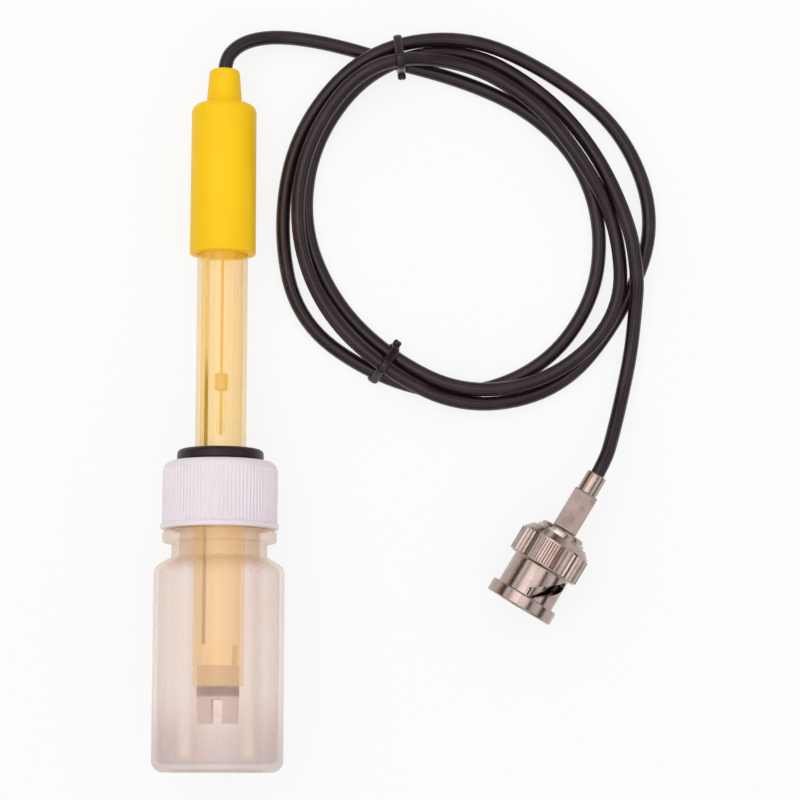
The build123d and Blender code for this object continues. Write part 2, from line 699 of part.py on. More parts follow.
def make_coupling_nut():
    """Bayonet nut: domed back, knurled grip, barrel with two ramped slots and a rim with their entries."""
    knurl_root = NUT_KNURL_DIAMETER / 2 - NUT_KNURL_DEPTH
    rim = nut_barrel + NUT_RIM_PROUD
    nut = turned(
        (hub_bore, nut_start, 0),
        (knurl_root - NUT_REAR_BEVEL, nut_start, NUT_EDGE_ROUNDING),
        (knurl_root, nut_start + NUT_REAR_LENGTH, NUT_EDGE_ROUNDING),
        (knurl_root, knurl_end, NUT_EDGE_ROUNDING),
        (nut_barrel, knurl_end, NUT_EDGE_ROUNDING),
        (nut_barrel, barrel_end, 0),
        (rim, barrel_end, NUT_EDGE_ROUNDING),
        (rim, nut_end, NUT_EDGE_ROUNDING),
        (nut_mouth, nut_end, NUT_EDGE_ROUNDING),
        (nut_mouth, chamber_end, 0),
        (nut_chamber, chamber_end, 0),
        (nut_chamber, nut_floor, 0),
        (hub_bore, nut_floor, 0),
    )
    knurl_start = nut_start + NUT_REAR_LENGTH + NUT_EDGE_ROUNDING
    outline = ribbed_outline(2 * knurl_root, NUT_KNURL_DEPTH, NUT_KNURL_SHARE, NUT_KNURL_COUNT)
    band = outline - Circle(knurl_root - NUT_KNURL_DEPTH)
    nut += Pos(0, 0, knurl_start) * extrude(band, knurl_end - NUT_EDGE_ROUNDING - knurl_start)
    for side in (0, 180):
        nut -= Rot(0, 0, BAYONET_ENTRY_ANGLE + side) * bayonet_slot()
    return nut


def bayonet_slot():
    """The space that one stud of the socket needs: entry channel, ramp and resting hole, starting at +X."""
    ramp_start = barrel_end - BAYONET_LAND
    depth = nut_mouth + BAYONET_CHANNEL_DEPTH
    channel_length = nut_end - ramp_start + BAYONET_WIDTH / 2
    channel = Pos(depth / 2, 0, nut_end - channel_length / 2) * Box(depth, BAYONET_WIDTH, channel_length)
    across = (nut_mouth + nut_barrel) / 2
    pitch = BAYONET_RISE * 360 / BAYONET_TWIST
    ramp_path = Helix(pitch, BAYONET_RISE, across, center=(0, 0, ramp_start), direction=(0, 0, -1))
    tool_depth = 2 * NUT_BARREL_WALL
    start = Plane(origin=ramp_path @ 0, x_dir=(1, 0, 0), z_dir=ramp_path % 0)
    slot = sweep(start * Rectangle(tool_depth, BAYONET_WIDTH), path=ramp_path, is_frenet=True)
    for place in (ramp_path @ 0, ramp_path @ 1):
        outward = Vector(place.X, place.Y, 0).normalized()
        hole = Plane(origin=place, z_dir=outward) * Cylinder(BAYONET_WIDTH / 2, tool_depth)
        slot += hole
    return slot + channel


PLUG_MAKERS = {
    "crimp_ferrule": make_crimp_ferrule,
    "plug_body": make_plug_body,
    "pin_insulator": make_pin_insulator,
    "centre_pin": make_centre_pin,
    "plug_gasket": make_plug_gasket,
    "retaining_ring": make_retaining_ring,
    "thrust_washer": make_thrust_washer,
    "spring_washer": make_spring_washer,
    "coupling_nut": make_coupling_nut,
}


def place_plug():
    """The placing that lays the plug on its knurl, headed away from the cable."""
    heading = math.radians(PLUG_HEADING)
    lying = Plane(
        origin=(*PLUG_ENTRY, NUT_KNURL_DIAMETER / 2),
        x_dir=(0, 0, 1),
        z_dir=(math.cos(heading), math.sin(heading), 0),
    )
    return lying.location


def main():
    """Builds every piece, lays it on the table and writes one file for each."""
    os.makedirs("parts", exist_ok=True)
    upright = {name: make() for name, make in UPRIGHT_MAKERS.items()}
    laid = lay_on_table(upright)
    plug = place_plug()
    pieces = {name: laid * solid for name, solid in upright.items()}
    pieces.update({name: plug * make() for name, make in PLUG_MAKERS.items()})
    on_nose = (cable_start, nose_end + EXIT_RUN)
    on_plug = (-ENTRY_RUN, CABLE_IN_FERRULE)
    lead_in_start = [(laid * Pos(0, 0, height)).position for height in on_nose]
    lead_out_end = [(plug * Pos(0, 0, height)).position for height in on_plug]
    pieces["cable_lead_in"] = cable_tube(lead_in_start + LEAD_IN_POINTS)
    pieces["cable_lead_out"] = cable_tube(LEAD_OUT_POINTS + lead_out_end)
    pieces["cable_coil"] = make_cable_coil()
    pieces["tie_upper"] = make_tie(pieces["cable_coil"], TIE_UPPER_ANGLE, TIE_UPPER_LEAN)
    pieces["tie_lower"] = make_tie(pieces["cable_coil"], TIE_LOWER_ANGLE, TIE_LOWER_LEAN)
    for name, solid in pieces.items():
        export_step(solid, f"parts/{name}.step")
    print("pieces", len(pieces), "lean", round(resting_tilt(), 3))


if __name__ == "__main__":
    main()
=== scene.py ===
"""Looks of a slim pH electrode in its storage bottle, with a tied coil of cable and a bayonet plug."""

import json
import logging
import math
from dataclasses import dataclass
from enum import Enum
from functools import cached_property
from typing import Any, ClassVar, Dict, List, Optional, Sequence, Tuple, Union

import bpy
import numpy as np
from mathutils import Matrix, Vector


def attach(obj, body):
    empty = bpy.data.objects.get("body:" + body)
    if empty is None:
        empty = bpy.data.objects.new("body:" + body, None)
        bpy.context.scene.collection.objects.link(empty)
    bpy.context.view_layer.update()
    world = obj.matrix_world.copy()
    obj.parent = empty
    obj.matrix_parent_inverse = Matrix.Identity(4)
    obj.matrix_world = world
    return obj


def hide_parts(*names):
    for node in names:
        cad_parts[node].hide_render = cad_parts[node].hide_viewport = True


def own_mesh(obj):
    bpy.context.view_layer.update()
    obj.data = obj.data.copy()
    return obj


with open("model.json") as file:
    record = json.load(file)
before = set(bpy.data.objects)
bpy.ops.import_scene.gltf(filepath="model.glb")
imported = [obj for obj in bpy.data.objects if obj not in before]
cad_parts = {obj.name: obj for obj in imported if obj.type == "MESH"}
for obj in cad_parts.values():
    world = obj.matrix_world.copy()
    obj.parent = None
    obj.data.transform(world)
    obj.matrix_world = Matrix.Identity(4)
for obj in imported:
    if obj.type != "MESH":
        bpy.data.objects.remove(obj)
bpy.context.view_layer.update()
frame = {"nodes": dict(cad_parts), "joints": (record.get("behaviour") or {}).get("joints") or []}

log = logging.getLogger("electrode")
MM = 0.001
UP = np.array((0.0, 0.0, 1.0))
Triple = Tuple[float, float, float]
Colour = Triple
Range = Tuple[float, float]


def linear(red: int, green: int, blue: int) -> Colour:
    """Turns a colour of 0 to 255 as seen on a screen into linear light.

    Args:
        red: Red as seen.
        green: Green as seen.
        blue: Blue as seen.

    Returns:
        The linear colour, from 0 to 1.
    """
    seen = np.array((red, green, blue)) / 255.0
    light = np.where(seen <= 0.04045, seen / 12.92, ((seen + 0.055) / 1.055) ** 2.4)
    return tuple(float(value) for value in light)


class Gloss(Enum):
    """How rough a finish is."""

    POLISHED = 0.14
    GLOSSY = 0.26
    SATIN = 0.42
    MATT = 0.62


@dataclass(frozen=True)
class Axis:
    """A straight axis of the part, with two directions across it."""

    origin: np.ndarray
    along: np.ndarray
    across: np.ndarray
    over: np.ndarray

    @classmethod
    def from_joint(cls, name: str) -> "Axis":
        """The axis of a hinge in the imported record.

        Args:
            name: The hinge's name.

        Returns:
            Its axis, with the direction over it as near to up as it can be.
        """
        joint = next(item for item in frame["joints"] if item["name"] == name)
        along = np.array(joint["axis"], float)
        over = UP - along * (UP @ along)
        over /= np.linalg.norm(over)
        return cls(np.array(joint["pos_m"], float), along, np.cross(over, along), over)

    def at(self, distance: float) -> np.ndarray:
        """The point on the axis at a distance from its origin."""
        return self.origin + distance * self.along

    def place(self, local: np.ndarray) -> np.ndarray:
        """Moves local points onto the axis.

        Args:
            local: Points as (across, over, along) in the last dimension.

        Returns:
            The same points in the row frame.
        """
        basis = np.stack((self.across, self.over, self.along))
        return self.origin + local @ basis

    def matrix(self) -> Matrix:
        """The matrix that takes row points to (across, over, along)."""
        turn = np.eye(4)
        turn[:3, 0], turn[:3, 1], turn[:3, 2] = self.across, self.over, self.along
        turn[:3, 3] = self.origin
        return Matrix(turn.tolist()).inverted()


class Value:
    """A number socket that adds Math nodes when it is used in an expression."""

    def __init__(self, graph: "Graph", socket: bpy.types.NodeSocket) -> None:
        """Keeps the socket and the graph it is in."""
        self.graph = graph
        self.socket = socket

    def __add__(self, other: "Number") -> "Value":
        """This value plus another."""
        return self.graph.math("ADD", self, other)

    def __radd__(self, other: "Number") -> "Value":
        """A number plus this value."""
        return self.graph.math("ADD", other, self)

    def __sub__(self, other: "Number") -> "Value":
        """This value less another."""
        return self.graph.math("SUBTRACT", self, other)

    def __rsub__(self, other: "Number") -> "Value":
        """A number less this value."""
        return self.graph.math("SUBTRACT", other, self)

    def __mul__(self, other: "Number") -> "Value":
        """This value times another."""
        return self.graph.math("MULTIPLY", self, other)

    def __rmul__(self, other: "Number") -> "Value":
        """A number times this value."""
        return self.graph.math("MULTIPLY", other, self)

    def __pow__(self, other: "Number") -> "Value":
        """This value to a power."""
        return self.graph.math("POWER", self, other)

    def step(self, low: float, high: float) -> "Value":
        """A smooth rise from 0 at low to 1 at high."""
        settings = {"interpolation_type": "SMOOTHSTEP"}
        inputs = {"Value": self, "From Min": low, "From Max": high}
        return Value(self.graph, self.graph.node("ShaderNodeMapRange", settings, inputs).outputs["Result"])

    def band(self, low: float, high: float, soft: float) -> "Value":
        """1 between two values and 0 outside them, with soft ends."""
        return self.step(low - soft, low + soft) * (1 - self.step(high - soft, high + soft))

    def swing(self, size: float) -> "Value":
        """Noise from 0 to 1 as a swing about zero, as wide as the size."""
        return size * (self - 0.5)


Number = Union[Value, float]
Input = Union[Value, bpy.types.NodeSocket, float, Sequence[float]]


class Graph:
    """The node tree of one material, or of the world."""

    def __init__(self, owner: Union[bpy.types.Material, bpy.types.World]) -> None:
        """Empties the owner's tree and keeps it."""
        owner.use_nodes = True
        self.tree = owner.node_tree
        self.tree.nodes.clear()

    def node(self, kind: str, settings: Dict[str, Any], inputs: Dict[str, Input]) -> bpy.types.Node:
        """Adds any node.

        Args:
            kind: The node's type.
            settings: Its settings, such as an operation; "stops" sets the stops of a ramp.
            inputs: Numbers, colours or links of its sockets, by name or place.

        Returns:
            The new node.
        """
        made = self.tree.nodes.new(kind)
        for name, value in settings.items():
            if name == "stops":
                self._set_stops(made.color_ramp, value)
            else:
                setattr(made, name, value)
        for name, value in inputs.items():
            socket = made.inputs[name]
            if isinstance(value, Value):
                self.tree.links.new(value.socket, socket)
            elif isinstance(value, bpy.types.NodeSocket):
                self.tree.links.new(value, socket)
            else:
                socket.default_value = (*value, 1.0) if socket.type == "RGBA" else value
        return made

    @staticmethod
    def _set_stops(ramp: bpy.types.ColorRamp, stops: Sequence[Tuple[float, float]]) -> None:
        """Gives a ramp grey stops as (place, level)."""
        while len(ramp.elements) < len(stops):
            ramp.elements.new(1.0)
        for element, (place, level) in zip(ramp.elements, stops):
            element.position = place
            element.color = (level, level, level, 1.0)

    def math(self, operation: str, left: Number, right: Number) -> Value:
        """A Math node on two values."""
        made = self.node("ShaderNodeMath", {"operation": operation}, {0: left, 1: right})
        return Value(self, made.outputs[0])

    def mix(self, share: Number, low: Input, high: Input) -> bpy.types.NodeSocket:
        """A colour between two colours.

        Args:
            share: How much of the second colour, from 0 to 1.
            low: The first colour, or a link.
            high: The second colour, or a link.

        Returns:
            The socket of the mixed colour.
        """
        return self.node("ShaderNodeMix", {"data_type": "RGBA"}, {0: share, 6: low, 7: high}).outputs[2]

    def coordinates(self, axis: Optional[Axis] = None) -> bpy.types.NodeSocket:
        """Object coordinates, in the directions of an axis where one is given.

        Args:
            axis: The axis whose (across, over, along) the coordinates follow.

        Returns:
            The socket of the coordinates.
        """
        plain = self.node("ShaderNodeTexCoord", {}, {}).outputs["Object"]
        if axis is None:
            return plain
        place, turn, _ = axis.matrix().decompose()
        inputs = {"Vector": plain, "Location": place, "Rotation": turn.to_euler()}
        return self.node("ShaderNodeMapping", {"vector_type": "POINT"}, inputs).outputs[0]

    def parts(self, vector: bpy.types.NodeSocket) -> Tuple[Value, Value, Value]:
        """The three numbers of a vector."""
        made = self.node("ShaderNodeSeparateXYZ", {}, {0: vector})
        return tuple(Value(self, socket) for socket in made.outputs)

    def scaled(self, vector: bpy.types.NodeSocket, factors: Sequence[float]) -> bpy.types.NodeSocket:
        """A vector with each number times a factor."""
        inputs = {0: vector, 1: factors}
        return self.node("ShaderNodeVectorMath", {"operation": "MULTIPLY"}, inputs).outputs[0]

    def noise(self, vector: bpy.types.NodeSocket, scale: float, detail: float = 3.0) -> Value:
        """Soft noise from 0 to 1.

        Args:
            vector: Where it is read.
            scale: Waves a metre.
            detail: How many finer layers it has.

        Returns:
            The noise.
        """
        inputs = {"Vector": vector, "Scale": scale, "Detail": detail}
        return Value(self, self.node("ShaderNodeTexNoise", {}, inputs).outputs[0])

    def bump(self, height: Value, depth: float) -> bpy.types.NodeSocket:
        """A normal from a height, with its depth in metres."""
        inputs = {"Height": height, "Distance": depth, "Strength": 1.0}
        return self.node("ShaderNodeBump", {}, inputs).outputs[0]

    def facing(self) -> Value:
        """0 where a surface is seen square on, rising to 1 where it is seen along its face."""
        return Value(self, self.node("ShaderNodeLayerWeight", {}, {"Blend": 0.5}).outputs["Facing"])

    def shader(self, inputs: Dict[str, Input]) -> None:
        """Adds a Principled shader and wires it to the output."""
        made = self.node("ShaderNodeBsdfPrincipled", {}, inputs)
        self.node("ShaderNodeOutputMaterial", {}, {"Surface": made.outputs[0]})


@dataclass(frozen=True)
class Finish:
    """What every finish has: a name and a colour."""

    name: str
    colour: Colour

    def material(self) -> bpy.types.Material:
        """The finish as a material, made once.

        Returns:
            The material.
        """
        known = bpy.data.materials.get("finish_" + self.name)
        if known is None:
            known = bpy.data.materials.new("finish_" + self.name)
            self.paint(Graph(known))
        return known

    def paint(self, graph: Graph) -> None:
        """Adds the finish's nodes to an empty tree."""
        raise NotImplementedError

    def dress(self, *pieces: bpy.types.Object) -> None:
        """Gives pieces this finish alone."""
        for piece in pieces:
            piece.data.materials.clear()
            piece.data.materials.append(self.material())


@dataclass(frozen=True)
class MouldedPlastic(Finish):
    """Solid moulded plastic with a faint flow of colour, fine grain and, where wanted, a coat of gloss."""

    shade: Colour
    gloss: Gloss = Gloss.SATIN
    coat: float = 0.0
    coat_roughness: float = 0.12
    grain: float = 0.02 * MM
    grain_waves: float = 2600.0
    flow_waves: float = 55.0
    flow_range: Range = (0.3, 0.75)
    uneven: float = 0.12
    shine: float = 0.5
    depth_of_light: float = 0.0
    light_reach: Triple = (1.0, 0.55, 0.25)
    light_scale: float = 2 * MM

    def paint(self, graph: Graph) -> None:
        """Adds broad colour flow, uneven gloss and fine grain."""
        place = graph.coordinates()
        flow = graph.noise(place, self.flow_waves)
        fine = graph.noise(place, self.grain_waves, detail=2.0)
        graph.shader({
            "Base Color": graph.mix(flow.step(*self.flow_range), self.colour, self.shade),
            "Roughness": self.gloss.value + flow.swing(self.uneven),
            "Coat Weight": self.coat,
            "Coat Roughness": self.coat_roughness,
            "Specular IOR Level": self.shine,
            "Subsurface Weight": self.depth_of_light,
            "Subsurface Radius": self.light_reach,
            "Subsurface Scale": self.light_scale,
            "Normal": graph.bump(fine, self.grain),
        })


@dataclass(frozen=True)
class BandedPlastic(Finish):
    """Moulded plastic with a darker band round it between two heights on an axis."""

    band_colour: Colour
    axis: Axis
    band_from: float
    band_to: float
    soft: float = 0.35 * MM
    gloss: Gloss = Gloss.SATIN
    flow_waves: float = 90.0
    uneven: float = 0.12
    grain: float = 0.04 * MM

    def paint(self, graph: Graph) -> None:
        """Adds the band, with soft ends, and uneven gloss."""
        place = graph.coordinates(self.axis)
        flow = graph.noise(place, self.flow_waves)
        band = graph.parts(place)[2].band(self.band_from, self.band_to, self.soft)
        graph.shader({
            "Base Color": graph.mix(band, self.colour, self.band_colour),
            "Roughness": self.gloss.value + flow.swing(self.uneven),
            "Normal": graph.bump(flow, self.grain),
        })


@dataclass(frozen=True)
class ClearWall(Finish):
    """A clear tinted wall, denser where it is seen along its face."""

    density: float
    edge_density: float
    gloss: Gloss = Gloss.POLISHED
    edge_power: float = 2.5
    streak_waves: float = 420.0
    streak_shape: Triple = (1.0, 0.15, 1.0)
    uneven: float = 0.06
    coat: float = 0.6
    coat_roughness: float = 0.05

    def paint(self, graph: Graph) -> None:
        """Adds a tint whose density grows towards the edges, with a glossy coat."""
        place = graph.coordinates()
        streak = graph.noise(graph.scaled(place, self.streak_shape), self.streak_waves)
        edge = graph.facing() ** self.edge_power
        density = self.density + (self.edge_density - self.density) * edge
        graph.shader({
            "Base Color": self.colour,
            "Roughness": self.gloss.value + self.uneven * streak,
            "Alpha": density + streak.swing(self.uneven),
            "Coat Weight": self.coat,
            "Coat Roughness": self.coat_roughness,
        })


@dataclass(frozen=True)
class MilkyWall(Finish):
    """Milky blown plastic: soft lengthwise streaks and two pale columns of painted light, thicker at the base
    and in the neck.

    A strength says how much of a colour is mixed in, and a thickness how much less the wall lets through.
    """

    base_colour: Colour
    streak_and_painted_light_colour: Colour
    neck_colour: Colour
    axis: Axis
    base_at: float
    shoulder_at: float
    density: float = 0.19
    left_painted_light: Range = (-7.7 * MM, -5.6 * MM)
    right_painted_light: Range = (4.2 * MM, 6.5 * MM)
    painted_light_edge: float = 0.9 * MM
    painted_light_foot: Range = (1.5 * MM, 4 * MM)
    painted_light_strength: float = 0.8
    painted_light_thickness: float = 0.14
    base_fade: Range = (1 * MM, 17 * MM)
    base_strength: float = 0.9
    base_thickness: float = 0.24
    neck_rise: float = 3 * MM
    neck_strength: float = 0.8
    neck_thickness: float = 0.14
    edge_power: float = 2.5
    edge_thickness: float = 0.3
    streak_shape: Triple = (1.0, 1.0, 0.04)
    streak_waves: float = 210.0
    streak_range: Range = (0.35, 0.7)
    streak_strength: float = 0.6
    streak_thickness: float = 0.1
    cloud_waves: float = 120.0
    cloud_thickness: float = 0.06
    roughness: float = 0.34
    uneven: float = 0.12
    coat: float = 0.25
    coat_roughness: float = 0.2
    grain: float = 0.02 * MM

    def above_base(self, height: Value, rise: Range) -> Value:
        """A smooth rise from 0 to 1 between two heights over the bottle's base."""
        return height.step(self.base_at + rise[0], self.base_at + rise[1])

    def paint(self, graph: Graph) -> None:
        """Adds streaks along the axis, two pale columns of painted light, and thickness by the height on it.
        """
        place = graph.coordinates(self.axis)
        across, _, height = graph.parts(place)
        # Two pale lengthwise columns of painted light, one each side, fading in just above the base: a paler
        # colour and a denser wall.
        left = across.band(*self.left_painted_light, self.painted_light_edge)
        right = across.band(*self.right_painted_light, self.painted_light_edge)
        column = (left + right) * self.above_base(height, self.painted_light_foot)
        streaks = graph.noise(graph.scaled(place, self.streak_shape), self.streak_waves, detail=2.0)
        streak = streaks.step(*self.streak_range)
        cloud = graph.noise(place, self.cloud_waves)
        base = 1 - self.above_base(height, self.base_fade)
        neck = height.step(self.shoulder_at, self.shoulder_at + self.neck_rise)
        edge = graph.facing() ** self.edge_power
        streaked = graph.mix(self.streak_strength * streak, self.colour, self.streak_and_painted_light_colour)
        based = graph.mix(self.base_strength * base, streaked, self.base_colour)
        # The columns of painted light take the pale streak colour.
        body = graph.mix(self.painted_light_strength * column, based, self.streak_and_painted_light_colour)
        # Denser wall at the base and in the neck, plus the painted light columns.
        thick_and_painted_light = self.base_thickness * base + self.neck_thickness * neck + self.painted_light_thickness * column
        uneven = streak.swing(self.streak_thickness) + cloud.swing(self.cloud_thickness)
        graph.shader({
            "Base Color": graph.mix(self.neck_strength * neck, body, self.neck_colour),
            "Roughness": self.roughness + self.uneven * cloud,
            "Alpha": self.density + thick_and_painted_light + self.edge_thickness * edge + uneven,
            "Coat Weight": self.coat,
            "Coat Roughness": self.coat_roughness,
            "Normal": graph.bump(cloud, self.grain),
        })


@dataclass(frozen=True)
class Jacket(Finish):
    """Soft black cable jacket or rubber, with an uneven sheen, rubbed patches and small wrinkles."""

    worn: Colour
    gloss: Gloss = Gloss.SATIN
    wrinkle: float = 0.06 * MM
    wrinkle_waves: float = 1500.0
    wrinkle_share: float = 0.3
    patch_waves: float = 160.0
    patch_range: Range = (0.45, 0.8)
    uneven: float = 0.2
    shine: float = 0.42
    shine_colour: Colour = (1.0, 0.86, 0.9)

    def paint(self, graph: Graph) -> None:
        """Adds uneven sheen, paler rubbed places and small wrinkles."""
        place = graph.coordinates()
        patch = graph.noise(place, self.patch_waves)
        fine = graph.noise(place, self.wrinkle_waves, detail=2.0)
        height = (1 - self.wrinkle_share) * patch + self.wrinkle_share * fine
        graph.shader({
            "Base Color": graph.mix(patch.step(*self.patch_range), self.colour, self.worn),
            "Roughness": self.gloss.value + patch.swing(self.uneven),
            "Specular IOR Level": self.shine,
            "Specular Tint": self.shine_colour,
            "Normal": graph.bump(height, self.wrinkle),
        })


@dataclass(frozen=True)
class Plate(Finish):
    """Bright plated or drawn metal with fine tool marks and dull spots."""

    dull: Colour
    gloss: Gloss = Gloss.POLISHED
    marks: float = 0.01 * MM
    mark_waves: float = 4200.0
    spot_waves: float = 380.0
    spot_range: Range = (0.42, 0.72)
    spot_strength: float = 0.3
    spot_roughness: float = 0.08

    def paint(self, graph: Graph) -> None:
        """Adds dull spots in colour and gloss, and fine marks."""
        place = graph.coordinates()
        spots = graph.noise(place, self.spot_waves).step(*self.spot_range)
        fine = graph.noise(place, self.mark_waves, detail=2.0)
        graph.shader({
            "Base Color": graph.mix(self.spot_strength * spots, self.colour, self.dull),
            "Metallic": 1.0,
            "Roughness": self.gloss.value + self.spot_roughness * spots,
            "Normal": graph.bump(fine, self.marks),
        })


def grid_piece(name: str, points: np.ndarray, wrap_rows: bool, wrap_columns: bool) -> bpy.types.Object:
    """A smooth piece from a grid of points.

    Args:
        name: The piece's name.
        points: The points, as rows by columns by three, in the row frame.
        wrap_rows: True where the last row joins the first.
        wrap_columns: True where the last column joins the first.

    Returns:
        The new object, at the origin.
    """
    rows, columns = points.shape[:2]
    index = np.arange(rows * columns).reshape(rows, columns)
    below = np.roll(index, -1, axis=0)
    corner = np.stack((index, np.roll(index, -1, 1), np.roll(below, -1, 1), below), axis=-1)
    faces = corner[: rows if wrap_rows else rows - 1, : columns if wrap_columns else columns - 1]
    caps: List[List[int]] = []
    if wrap_columns and not wrap_rows:
        caps = [index[0, ::-1].tolist(), index[-1].tolist()]
    mesh = bpy.data.meshes.new(name)
    mesh.from_pydata(points.reshape(-1, 3).tolist(), [], faces.reshape(-1, 4).tolist() + caps)
    mesh.polygons.foreach_set("use_smooth", np.ones(len(mesh.polygons), bool))
    mesh.update()
    piece = bpy.data.objects.new(name, mesh)
    bpy.context.scene.collection.objects.link(piece)
    return piece


def swept(path: np.ndarray, first: np.ndarray, second: np.ndarray, section: np.ndarray) -> np.ndarray:
    """Carries a section along a path: each point is the path plus the section in two directions.

    Args:
        path: Points of the path, rows by three.
        first: The section's first direction at each point, rows by three.
        second: The section's second direction at each point, rows by three.
        section: The section's points as (first, second), columns by two.

    Returns:
        The grid of points, rows by columns by three.
    """
    return path[:, None] + first[:, None] * section[None, :, :1] + second[:, None] * section[None, :, 1:]


def round_section(width: float, height: float, count: int, power: float = 1.0) -> np.ndarray:
    """An oval section: cosine and sine to a power below 1 make it squarer.

    Args:
        width: Full width along the first direction.
        height: Full height along the second.
        count: Points round it.
        power: 1 for an ellipse.

    Returns:
        The points, count by two.
    """
    turn = np.arange(count) * 2 * np.pi / count
    wide = np.sign(np.cos(turn)) * np.abs(np.cos(turn)) ** power
    high = np.sign(np.sin(turn)) * np.abs(np.sin(turn)) ** power
    return np.stack((wide * width / 2, high * height / 2), axis=-1)


@dataclass
class HelicalThread:
    """A round-topped screw thread on the electrode's axis.

    The ridge's centre goes round at a constant radius while it climbs by the pitch each turn, and the ridge
    runs out to almost nothing over the first and last part of a turn.
    """

    name: str
    axis: Axis
    radius: float
    start: float
    turns: float = 1.6
    pitch: float = 3.0 * MM
    width: float = 1.3 * MM
    height: float = 1.0 * MM
    run_out: float = 0.18
    thinnest: float = 0.02
    points_a_turn: int = 72
    points_round: int = 12

    def build(self, body: str, finish: Finish) -> None:
        """Makes the ridge.

        Args:
            body: The body that it rides on.
            finish: Its finish.
        """
        share = np.linspace(0.0, 1.0, int(self.points_a_turn * self.turns))
        turn = 2 * np.pi * self.turns * share
        out = np.stack((np.cos(turn), np.sin(turn), np.zeros_like(turn)), axis=-1)
        along = np.broadcast_to((0.0, 0.0, 1.0), out.shape)
        climb = self.start + self.pitch * turn / (2 * np.pi)
        local = out * self.radius + along * climb[:, None]
        turns_to_end = np.minimum(share, 1 - share) * self.turns
        fade = np.clip(turns_to_end / self.run_out, self.thinnest, 1.0)[:, None]
        section = round_section(self.height, self.width, self.points_round)
        grid = swept(local, out * fade, along * fade, section)
        piece = grid_piece(self.name, self.axis.place(grid), False, True)
        finish.dress(piece)
        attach(piece, body)


@dataclass
class CoiledCable:
    """The cable: out of the nose, over the table into a tied coil, and on to the plug.

    The coil has a little over three turns, with a radius and a height for each clock hour of a turn. The
    coil's centre and the lists of points, radii and heights are in millimetres.
    """

    electrode: Axis
    plug: Axis
    diameter: float = 2.8 * MM
    nose_end: float = 78.35 * MM
    inside_nose: float = 1.8 * MM
    exit_run: float = 1.7 * MM
    entry_run: float = 3.0 * MM
    inside_ferrule: float = 2.6 * MM
    plug_back: float = 14.35 * MM
    length: float = 0.78
    centre: Tuple[float, float] = (47.8, 39.1)
    table_clearance: float = 0.05 * MM
    settling_rounds: int = 80
    settling_samples: int = 900
    settling_share: float = 0.5
    strand_length: float = 9.0
    loose_from: int = 5
    loose_to: int = -5
    line_samples: int = 3000
    steps_round: int = 6
    steps_along: int = 10
    hours: ClassVar[int] = 12
    order: ClassVar[int] = 3
    lead_in: ClassVar[Tuple[Triple, ...]] = (
        (1.9, 73.9, 4.9),
        (5.2, 75.8, 3.9),
        (10.5, 76.7, 2.6),
        (18.0, 76.0, 1.6),
        (26.3, 74.0, 1.45),
        (31.8, 72.2, 1.45),
    )
    lead_out: ClassVar[Tuple[Triple, ...]] = (
        (82.1, 28.4, 4.2),
        (81.7, 21.6, 2.4),
        (80.9, 13.4, 1.6),
        (79.1, 4.9, 2.4),
        (77.1, -2.9, 4.9),
    )
    radii: ClassVar[Tuple[Tuple[float, ...], ...]] = (
        (27.9, 25.4, 25.5, 26.5, 28.9, 31.6, 33.6, 34.2, 37.4, 35.9, 37.3, 38.5),
        (36.9, 34.0, 35.8, 37.2, 35.0, 37.2, 36.0, 32.3, 32.2, 33.0, 34.6, 36.2),
        (31.6, 27.2, 25.6, 29.5, 34.9, 34.8, 33.1, 29.5, 29.4, 31.4, 33.5, 35.2),
        (34.6, 30.1, 29.1, 31.5),
    )
    heights: ClassVar[Tuple[Tuple[float, ...], ...]] = (
        (1.45, 1.45, 1.45, 1.45, 1.45, 1.45, 1.45, 1.45, 1.45, 1.45, 1.7, 4.6),
        (2.2, 1.45, 1.45, 1.45, 1.45, 1.45, 3.3, 4.4, 3.0, 3.9, 4.2, 7.3),
        (3.6, 3.5, 4.2, 1.6, 4.0, 3.0, 4.6, 2.1, 1.45, 1.45, 1.7, 4.7),
        (1.9, 1.45, 1.45, 4.3),
    )

    def coil_points(self) -> List[Triple]:
        """The coil's points, twelve a turn, in millimetres.

        Each clock hour has its own radius and height; the radius is drawn out so that the smooth curve, which
        cuts the corners, passes at the radius itself.

        Returns:
            The points, from the first turn's twelve o'clock on.
        """
        step = 2 * math.pi / self.hours
        points = []
        for turn_radii, turn_heights in zip(self.radii, self.heights):
            for hour, (radius, height) in enumerate(zip(turn_radii, turn_heights)):
                reach = radius / math.cos(step / 2)
                x = self.centre[0] + reach * math.sin(hour * step)
                y = self.centre[1] + reach * math.cos(hour * step)
                points.append((x, y, height))
        return points

    def route(self) -> np.ndarray:
        """The cable's control points in metres, from inside the nose to inside the ferrule."""
        on_table = np.array([*self.lead_in, *self.coil_points(), *self.lead_out]) * MM
        nose = [self.electrode.at(self.nose_end + offset) for offset in (-self.inside_nose, self.exit_run)]
        entry = [self.plug.at(offset - self.plug_back) for offset in (-self.entry_run, self.inside_ferrule)]
        return np.concatenate((nose, on_table, entry))

    @cached_property
    def laid(self) -> np.ndarray:
        """The control points once the strands lie on each other.

        Where two strands are nearer than a diameter, the higher one rises and the lower one sinks by a
        share of what is missing, never into the table, and this is repeated until they lie on each other.
        Two places are on different strands where the cable between them is longer than strand_length, in
        diameters. The ends stay as they are.

        Returns:
            The control points.
        """
        laid = self.route()
        weights = self.weights(len(laid), self.settling_samples)
        share = self.settling_share * weights.T / weights.sum(axis=0)[:, None]
        run = np.arange(self.settling_samples) * self.length / self.settling_samples
        apart = np.abs(run[:, None] - run) > self.strand_length * self.diameter
        loose = slice(self.loose_from, self.loose_to)
        lowest = self.diameter / 2 + self.table_clearance
        for _ in range(self.settling_rounds):
            line = weights @ laid
            offset = line[:, None] - line
            missing = np.where(apart, self.diameter - np.linalg.norm(offset, axis=-1), 0.0).clip(min=0.0)
            above = offset[..., 2] >= 0
            push = (missing * above).max(axis=1) - (missing * ~above).max(axis=1)
            laid[loose, 2] = np.maximum(laid[loose, 2] + (share @ push)[loose], lowest)
        return laid

